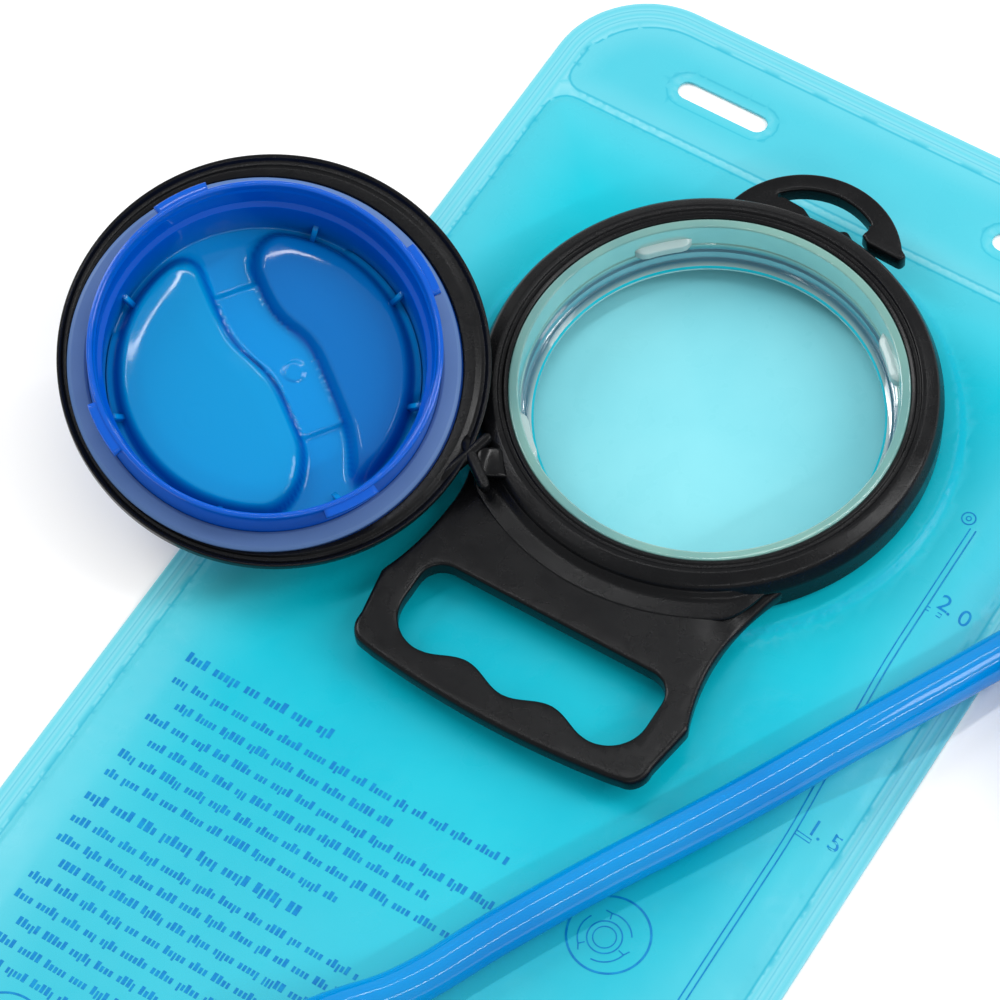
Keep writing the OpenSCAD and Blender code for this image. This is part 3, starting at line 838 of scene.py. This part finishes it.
def word_rows():
    """Rows of small plain blocks that stand where the bag has printed lines: (x, y, length, size)."""
    blocks = [
        (-122.5, 40, (-72, -67.5, -72, -67.5, -72, -72), (94, 60, 96, 78, 92, 66)),
        (-165, 60, (-72, -72, -67.5, -72, -72, -67.5, -72, -67.5), (80, 92, 70, 88, 76, 54, 84, 40)),
    ]
    rows = []
    for y, heading, starts, lengths in blocks:
        rows.append((-72.5, y, heading, 1.25))
        rows += [(x, y - 6.5 - ROW_PITCH * i, n, 1) for i, (x, n) in enumerate(zip(starts, lengths))]
    return rows


def block_text():
    """The rows as words of small blocks of uneven height, which spell nothing."""
    parts = []
    for x0, y, length, size in word_rows():
        x, word, k = x0, 0, 0
        while x < x0 + length:
            seed = noise.noise(Vector((x * 0.91, y * 0.73, 5.2)))
            tall = (2.2 if seed > 0.14 else 1.55) * size
            low = y - (0.6 * size if seed < -0.3 else 0)
            wide = (0.78 + 0.5 * seed) * size
            box = [(x, low), (x + wide, low), (x + wide, y + tall), (x, y + tall)]
            parts.append((lay_on_film(box), [(0, 1, 2, 3)]))
            x += wide + 0.42 * size
            k += 1
            if k > 4 + 3 * noise.noise(Vector((x, y, word))):
                x += 1.2 * size
                word, k = word + 1, 0
    return join(*parts)


def scale_x(y):
    """Where the volume scale's left line runs."""
    return 70.2 + 3.2 * float(smoothstep(30, 95, -y))


def scale_print():
    """The volume scale: a ring at its top, a double line, and a tick and number every half litre."""
    parts = [printed_ring(SCALE_TOP, 1.7, 24, 0.35), printed_ring(SCALE_TOP, 0.6, 16, 0.3)]
    line = [(scale_x(y), y) for y in range(5, -226, -6)]
    parts.append(strip(line, 0.32))
    parts.append(strip([(x + 1.5, y) for x, y in line], 0.32))
    for i in range(4):
        y = -19.5 - TICK_PITCH * i
        x = scale_x(y) + 1.5
        parts.append(strip([(x, y + 0.5), (x + 4, y + 0.5), (x + 4, y - 0.5), (x, y - 0.5)], 0.28))
    return join(*parts)


def number(text, x, y, size):
    """One sign of a plain number of the volume scale, laid on the film."""
    data = bpy.data.curves.new("number", "FONT")
    data.body = text
    data.size = size
    holder = add_object("number", data)
    bpy.context.view_layer.update()
    mesh = bpy.data.meshes.new_from_object(holder)
    points = [(v.co.x + x, v.co.y + y) for v in mesh.vertices]
    faces = [tuple(f.vertices) for f in mesh.polygons]
    bpy.data.objects.remove(holder)
    return lay_on_film(points), faces


def badge(x, y, r):
    """A plain round sign: a ring round a cap with three arrows."""
    middle = (x - 0.5, y - 1)
    parts = [printed_ring((x, y), r, 60, 0.55), printed_ring(middle, r * 0.42, 36, 0.35),
             printed_ring(middle, r * 0.28, 30, 0.3)]
    for start in (30, 150, 270):
        swing = arc(middle, r * 0.64, start, start + 75, 10)
        tip = Vector(swing[-1])
        parts.append(strip(swing, 0.35))
        for turn in (150, 255):
            a = math.radians(start + turn)
            parts.append(strip([tip, tip + Vector(polar(1, a)) * 1.6], 0.3))
    return join(*parts)


def add_print():
    parts = [block_text(), scale_print(), badge(51.4, -131.8, 9.8), badge(-54.5, -224, 9.8)]
    for i, digits in enumerate(("2.0", "1.5", "1.0", "0.5")):
        y = -19.3 - TICK_PITCH * i
        x = scale_x(y) + 3.2
        for text, shift in zip(digits, (0, 2.7, 5.6)):
            parts.append(number(text, x + shift, y + 1.2 - 0.05 * shift, 6.2))
    points, faces = join(*parts)
    make_object("bag_print", points, faces, "print_blue", "reservoir", smooth=False)


# ---- fill port


def add_port():
    wall = [
        (MOUTH_R, 6.0, 0.2), (MOUTH_R + 1.6, 7.2, 0.4), (NECK_IN - 0.9, 7.2, 0.3),
        (NECK_IN - 0.6, 9.6, 0.2), (NECK_IN, 10.0, 0.2), (NECK_IN, 11.4, 0.2),
        (NECK_IN - 0.35, 11.7, 0.15), (NECK_IN - 0.35, 12.3, 0.15), (NECK_IN, 12.6, 0.2),
        (NECK_IN + 0.15, NECK_TOP, 0.5), (NECK_OUT, NECK_TOP, 0.5), (NECK_OUT, 6.2, 0.2),
        (NECK_OUT + 4, 5.7, 0.3), (NECK_OUT + 4, 5.5, 0.2), (MOUTH_R, 5.3, 0.2),
    ]
    points, faces = lathe(rounded(wall, 3), 200)
    heights = np.array(points)[:, 2]
    radii = np.hypot(*np.array(points)[:, :2].T)
    # Painted shade in the neck's lower groove.
    groove_shade = ((radii < NECK_IN + 0.3) & (heights > 7) & (heights < 10.2)) * 1.0
    # Painted pale highlight on the mouth's rim. The lugs get it in full below.
    rim_highlight = ((radii < MOUTH_R + 1.2) & (heights < 7.3)) * 0.7
    parts, groove_shades, clear = [(points, faces)], [groove_shade], [rim_highlight]
    for i in range(4):
        lug = port_lug(math.radians(45 + 90 * i))
        parts.append(lug)
        # The lugs take no painted groove shade and the full painted pale highlight.
        groove_shades.append(np.zeros(len(lug[0])))
        clear.append(np.ones(len(lug[0])))
    points, faces = join(*parts)
    marks = {"groove_shade": np.concatenate(groove_shades), "clear": np.concatenate(clear)}
    port = make_object(
        "port_moulding", points, faces, "port_clear", "reservoir", attributes=marks)
    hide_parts("fill_port")


def port_lug(middle):
    """A bayonet lug on the neck's inside, lower at both its ends."""
    section = rounded([
        (NECK_LIP, 11.4, 0.1), (44.3, 12, 0.4), (44.3, 14.3, 0.4), (NECK_LIP, 15, 0.1)], 3)
    points = []
    steps = 10
    for s in range(steps + 1):
        t = s / steps
        turn = middle - LUG_HALF + 2 * LUG_HALF * t
        ease = 1 - 0.75 * max(0, abs(2 * t - 1) - 0.75) * 4
        for r, z in section:
            inward = NECK_LIP - (NECK_LIP - r) * ease
            points.append((*polar(inward, turn), z))
    return points, skin(steps + 1, len(section))


# ---- collar, handle and hook


def soft_edge(r, low_r, steps=5):
    """Edge rings that round a plate's top edge by r and its lower edge by low_r."""
    rings = []
    for i in range(steps + 1):
        a = math.pi / 2 * i / steps
        rings.append((r * (1 - math.cos(a)), r * (1 - math.sin(a)), low_r * (1 - math.sin(a))))
    return rings


def turned(loop, clockwise):
    """The loop, drawn the way asked."""
    area = sum(a[0] * b[1] - b[0] * a[1] for a, b in zip(loop, loop[1:] + loop[:1]))
    return loop if (area < 0) == clockwise else loop[::-1]


def handle_loop():
    """The handle's outline from the collar round its end and back, drawn anticlockwise."""
    right = (arc((95.3, -60), 57, 157, 202, 16) + arc((34.5, -95), 6, 10, -62, 8)
             + arc((0, 148.7), 252, -82.6, -90, 6))
    left = [(-x, y) for x, y in right[-2::-1]]
    under_ring = arc((0, 0), 51, -138.6, -41.4, 24)
    return turned(right + left + under_ring, False)


def finger_loop():
    """The finger hole with its two finger lobes, drawn clockwise."""
    right = arc((27.5, -78.4), 6, 90, 0, 8) + arc((23.5, -85.3), 10, 0, -90, 12)
    right += [(x / 2, -93.6 - 1.7 * math.cos(2 * math.pi * x / 2 / 23.5)) for x in range(42, -1, -3)]
    left = [(-x, y) for x, y in reversed(right[:-1])]
    return turned(right + left, True)


def hook_loop():
    """The hanging hook's outline, drawn anticlockwise."""
    outer = arc((-0.5, 47), 24.2, 34, 165, 28)
    inner = arc((-1, 47.5), 18.7, 140, 60, 18)
    ring_side = rounded([
        (-24.5, 50, 0), (-12, 46, 0), (8, 48, 0), (9.5, 55.6, 1.5), (5.2, 58.4, 1.2), (2, 56.6, 1.5),
        (-4, 56.9, 2), (-7.6, 59, 1.2), (-14, 59.4, 2.5)], 4)
    barb = rounded([
        (8.6, 63.2, 0.8), (9.4, 61.5, 0.8), (8.8, 59.4, 0.5), (11.2, 57.8, 0.6), (20.8, 57.4, 1.2),
        (21.4, 59.6, 0.8)], 3)
    return turned(outer + ring_side + inner + barb, False)


def handle_top(x, y):
    """The plate's upper face, with a thumb scoop at each shoulder and a slight fall to its end."""
    scoop = np.exp(-((np.abs(x) - 40) / 5.5) ** 2 - ((y + 50) / 9) ** 2)
    toward_end = smoothstep(-70, -100, y)
    return HANDLE_TOP - 2.4 * scoop - 0.5 * toward_end


def add_collar():
    """The collar's ring, the step that joins its handle, the handle and the hook, in one moulding."""
    ring = rounded([
        (NECK_OUT + 0.1, 7, 0.3), (56.2, 6.9, 0.6), (57.0, 8.5, 0.8), (57.1, 15.2, 2.6), (55.6, 18.9, 2.4),
        (52.6, 20.2, 1.2), (51.5, 20.1, 0.4), (51.1, 19.5, 0.3), (50.3, 19.5, 0.3), (49.8, 20.1, 0.3),
        (NECK_OUT + 0.1, 19.6, 0.4)], 5)
    ring_part = lathe(ring, 220)
    step = rounded([
        (50, 14.2, 0.2), (62.5, 14.5, 0.2), (62, 15.25, 0.4), (57.6, 15.9, 2.4), (56.2, 17.6, 1),
        (50, 17.4, 0.2)], 5)
    fillet = lathe_arc(step, math.radians(-140), math.radians(-40), 110, fade=0.3, core=55)
    handle = plate([resample(handle_loop(), 1.1), resample(finger_loop(), 0.9)],
                   (soft_edge(1.3, 0.8), soft_edge(0.9, 0.8)), handle_top, flat_at(HANDLE_LOW), 2.0)
    hook = plate([resample(hook_loop(), 0.7)], (soft_edge(0.8, 0.6), []), flat_at(16), flat_at(11), 3.0)
    points, faces = join(ring_part, fillet, handle, hook)
    collar = make_object("collar_moulding", points, faces, "black_textured", "reservoir")
    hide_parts("collar_handle")


# ---- cap


def add_cap_ring():
    """The black grip ring: its outside is off centre, so that one side is wider."""
    outer = [(52.4, 0.4, 0.5), (52.4, -2.2, 0.8), (51.6, -4.2, 1), (46.6, -12.6, 1.2), (45, -13.4, 0.8)]
    inner = [(43.3, -13.4, 0.4), (43.3, -3.8, 0.2), (48.3, -3.7, 0.1), (48.3, -0.9, 0.1), (47.7, -0.8, 0.1),
             (47.7, -0.2, 0.3), (49.2, 0, 0.3), (50.0, -0.7, 0.4), (50.9, -0.7, 0.4), (51.5, 0, 0.3)]
    profile = rounded(outer + inner, 3)

    def share(r, z):
        return float(smoothstep(46.9, 50.5, r) if z > -4 else smoothstep(43.4, 45, r))

    def grip(turn, p):
        away = smoothstep(-3.5, -6, p[1]) * smoothstep(-13, -11, p[1]) * smoothstep(44.5, 46, p[0])
        return -0.45 * float(away) * (0.5 + 0.5 * math.cos(40 * turn))

    shared = [(r, z, share(r, z)) for r, z in profile]
    ring = lathe(shared, 320, polar(CAP_OFFSET, WIDE_SIDE), grip)
    points, faces = join(ring, *[cap_ear(side) for side in (-1, 1)])
    piece = make_object(
        "cap_ring_moulding", points, faces, "black_textured", "cap_ring", at=CAP)
    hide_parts("cap_grip_ring")


def cap_ear(side):
    """One of the two ears that hold the strap's end, in the cap's own frame."""
    hinge = CAP.inverted() @ (KNUCKLE + side * 5.9 * HINGE_WAY)
    turn = EAR_TURN + side * math.radians(8)
    root = Vector((*polar(50.5, turn), -2.5))
    out = (hinge - root).normalized()
    path = [root.lerp(hinge, t) for t in (0, 0.35, 0.7, 1)] + [hinge + 0.9 * out, hinge + 1.5 * out]
    section = box_section(1.4, 1.7, 1.2)
    across = Vector((0, 0, 1)).cross(out)
    return sweep(path, section, [1.3, 1.1, 1, 1, 0.85, 0.4], [across] * len(path))


PAD_TOP = -5.2
PLUG_FLOOR = -10.1
PLUG_UNDER = -11.8
PLUG_R = 38.2
LUG_TURN = math.radians(-83)
GUSSET_TURNS = (-139, -92, -38, 140, 99, 55, 8)


def channel_low(u):
    """Edge of the S-shaped channel on the lower pad's side."""
    ends = 0.035 * np.maximum(u - 18, 0) ** 2 + 0.02 * np.maximum(-u - 30, 0) ** 2
    return -1.0 + 3.6 * np.tanh((u + 4) / 7) - ends


def channel_high(u):
    """Edge of the S-shaped channel on the upper pad's side."""
    ends = 0.02 * np.maximum(u - 18, 0) ** 2 - 0.06 * np.maximum(-u - 24, 0) ** 2
    return 9.8 + 3.4 * np.tanh((u + 8) / 6) - ends


def blend_min(a, b, k):
    """Smooth smaller value of two distances."""
    h = np.clip(0.5 + 0.5 * (b - a) / k, 0, 1)
    return b * (1 - h) + a * h - k * h * (1 - h)


def pad_depths(u, v):
    """Distance in from the edge of the lower and of the upper pad."""
    disc = 36.6 - np.hypot(u, v)
    lower = blend_min(disc, channel_low(u) - v, 7)
    upper = blend_min(disc, v - channel_high(u), 7)
    return lower, upper


def plug_height(u, v):
    """Height of the plug's floor with its two pads, the channel's raised middle, the mark of the
    mould's gate and faint sink rings."""
    lower, upper = pad_depths(u, v)
    pad = np.maximum(smoothstep(-1, 2.6, lower), smoothstep(-1, 2.6, upper))
    crown = 0.7 * smoothstep(0, 8, np.maximum(lower, upper))
    z = PLUG_FLOOR + (PAD_TOP - PLUG_FLOOR) * pad + crown
    between = (lower < 0) & (upper < 0)
    raised = 1.1 * (smoothstep(-23, -22, u) - smoothstep(18, 19, u)) * between
    gate = 0.5 * (1 - smoothstep(2.2, 2.9, np.hypot(u - 2, v - 7)))
    sink = [(-20, -14), (6, -20), (-14, 24), (10, 24), (-2, 33)]
    rings = sum(0.04 * (1 - smoothstep(0.2, 0.6, np.abs(np.hypot(u - a, v - b) - 3.2))) for a, b in sink)
    return z + raised + gate * between - rings


def add_cap_plug():
    skirt = rounded([
        (41.2, 11.5, 0.6), (42.6, 11.5, 0.6), (42.6, -1.2, 0.1), (48, -1.25, 0.2), (48, -3.3, 0.2),
        (42.6, -3.4, 0.1), (42.6, -11.9, 1), (37, -11.9, 0.2), (37, -10.3, 0.2), (38.4, -10.0, 0.6),
        (39.0, 2.2, 0.6), (40.3, 3.2, 0.5), (40.6, 8.8, 0.4), (41.0, 9.4, 0.3)], 3)
    skirt_part = lathe(skirt, 240)
    rings, spokes = 62, 200
    turns = [2 * math.pi * k / spokes for k in range(spokes)]
    points = [(0, 0)]
    for i in range(1, rings + 1):
        points += [polar(PLUG_R * i / rings, t) for t in turns]
    faces = [(0, 1 + k, 1 + (k + 1) % spokes) for k in range(spokes)]
    for i in range(rings - 1):
        a, b = 1 + i * spokes, 1 + (i + 1) * spokes
        faces += [(a + k, b + k, b + (k + 1) % spokes, a + (k + 1) % spokes) for k in range(spokes)]
    u, v = np.array(points).T
    disc_part = (list(zip(u, v, plug_height(u, v))), faces)
    under = [(*polar(PLUG_R, t), PLUG_UNDER) for t in turns]
    under_part = (under, [tuple(range(spokes - 1, -1, -1))])
    gussets = [gusset(math.radians(t)) for t in GUSSET_TURNS]
    lugs = [plug_lug(LUG_TURN + math.radians(90 * i)) for i in range(4)]
    points, faces = join(skirt_part, disc_part, under_part, *gussets, *lugs)
    x, y = np.array(points)[:, :2].T
    r = np.hypot(x, y)
    lower, upper = pad_depths(x, y)
    pads = np.maximum(lower, upper)
    on_disc = r < PLUG_R - 0.2
    # Marks for painted light and shade: the lower pad and the floor painted lighter, the skirt and the
    # pads' edges painted deeper.
    marks = {
        "skirt": smoothstep(38.0, 39.2, r),
        "lit": smoothstep(0, 3, lower) * on_disc,
        "floor": (1 - smoothstep(-0.5, 1.5, pads)) * on_disc,
        "edge": 0.75 * (1 - smoothstep(0, 1.2, np.abs(pads - 0.4))) * on_disc,
    }
    piece = make_object(
        "cap_plug_moulding", points, faces, "cap_blue", "cap_core", at=CAP, attributes=marks)
    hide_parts("cap_plug")
    gasket = rounded([
        (42.7, -1.15, 0.1), (47.4, -1.15, 0.2), (47.5, 0.3, 0.5), (46.6, 0.9, 0.5), (43.4, 0.9, 0.4),
        (42.7, 0.5, 0.2)], 3)
    points, faces = lathe(gasket, 200)
    piece = make_object("cap_seal", points, faces, "gasket", "cap_core", at=CAP)
    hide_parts("cap_gasket")


def gusset(turn):
    """A small rib between the skirt and the pads."""
    out = Vector((*polar(1, turn), 0))
    across = Vector((-out.y, out.x, 0))
    slope = ((35.4, -9.3), (36.8, -7.5), (38.4, -5.5), (39.2, -4.5))
    path = [out * r + Vector((0, 0, z)) for r, z in slope]
    section = rounded([(-0.7, -1.2, 0.3), (0.7, -1.2, 0.3), (0.7, 0.8, 0.3), (-0.7, 0.8, 0.3)], 2)
    return sweep(path, section, [1, 1, 1, 1], [across] * len(path))


def plug_lug(turn):
    """A bayonet lug on the outside of the plug's skirt."""
    section = rounded([(42.3, 8.9, 0.1), (44.6, 9.1, 0.4), (44.6, 10.9, 0.4), (42.3, 11.1, 0.1)], 3)
    return lathe_arc(section, turn - LUG_HALF, turn + LUG_HALF, 12)


def add_strap():
    """The flexible strap from the collar to the cap's ears."""
    path = [Vector(p) for p in (
        (-31, -44, 8.4), (-31, -44, 11), (-31, -44, 14), (-30.9, -44, 17.4), (-31.8, -44.7, 19.6),
        (-33.4, -45.8, 20.3), KNUCKLE, (-36.3, -47.6, 20.2))]
    slot_way = Vector((0.82, -0.57, 0))
    ways = [slot_way.lerp(HINGE_WAY, min(1, max(0, (i - 2) / 3))) for i in range(len(path))]
    section = box_section(3.8, 0.75, 0.7)
    centre_line = smooth_path(path, 4)
    points, faces = sweep(centre_line, section, [1] * len(centre_line), smooth_path(ways, 4))
    strap = make_object("cap_strap", points, faces, "black_soft", None)
    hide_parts("cap_tether")
    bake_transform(strap)


def smooth_path(points, steps):
    """Points on a smooth curve through the given ones."""
    out = []
    last = len(points) - 1
    for i in range(last):
        p0, p1, p2, p3 = points[max(i - 1, 0)], points[i], points[i + 1], points[min(i + 2, last)]
        for k in range(steps):
            t = k / steps
            out.append(0.5 * ((2 * p1) + (p2 - p0) * t + (2 * p0 - 5 * p1 + 4 * p2 - p3) * t * t
                              + (3 * p1 - p0 - 3 * p2 + p3) * t ** 3))
    return out + [points[last].copy()]


# ---- outlet and the CAD nodes that stay

KEPT_NODES = {
    "outlet_flange": "outlet_blue", "release_socket": "black_textured", "socket_o_ring": "o_ring",
    "spring_retainer": "white_plastic", "shutoff_poppet": "white_plastic", "poppet_spring": "spring_steel",
    "release_button": "black_soft", "button_spring": "spring_steel", "hose_elbow": "black_textured",
    "elbow_o_ring": "o_ring", "bite_valve_body": "black_textured", "valve_o_ring": "o_ring",
    "pull_tip": "tip_blue", "mouthpiece": "mouthpiece", "dust_cover": "cover_clear",
}


def paint_kept_nodes():
    for name, paint in KEPT_NODES.items():
        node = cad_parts[name]
        node.data.materials.clear()
        node.data.materials.append(PAINTS[paint])


# ---- going together

PAINTS = {}


def main():
    PAINTS.update(make_paints())
    add_camera()
    add_hose()
    add_studio()
    add_bag()
    add_print()
    add_port()
    add_collar()
    add_cap_ring()
    add_cap_plug()
    add_strap()
    paint_kept_nodes()


main()
